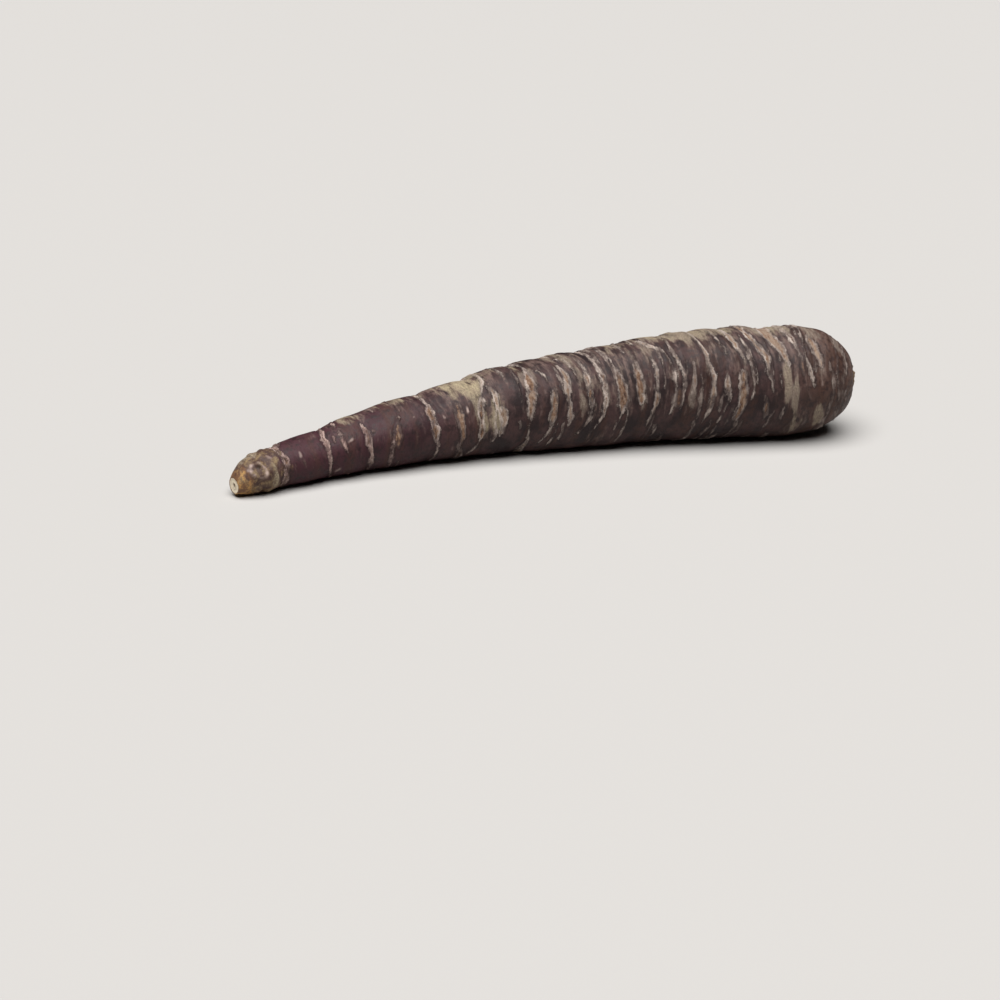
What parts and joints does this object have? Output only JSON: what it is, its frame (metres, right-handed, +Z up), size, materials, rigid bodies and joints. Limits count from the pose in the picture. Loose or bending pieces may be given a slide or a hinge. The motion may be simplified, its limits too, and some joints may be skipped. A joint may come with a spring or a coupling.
{
  "type": "black carrot",
  "caption": "Whole dark purple carrot root: thick, rounded crown with a corky leaf scar, gently bent taper ringed by cork scars, blunt broken tip.",
  "frame": {"origin": "centre of the bounding box at its bottom, on the surface that the carrot lies on", "axes": "+X runs along the length to the leaf crown, -X is the thin tip, +Y is the side that the middle bows towards, +Z is up"},
  "size_m": [0.2216, 0.0468, 0.0388],
  "materials": {
    "carrot_skin": "satin dark purple-brown root skin with dull corky scars; wood stands for firm plant tissue"
  },
  "bodies": {
    "root": {"taproot": "carrot_skin"}
  },
  "joints": []
}
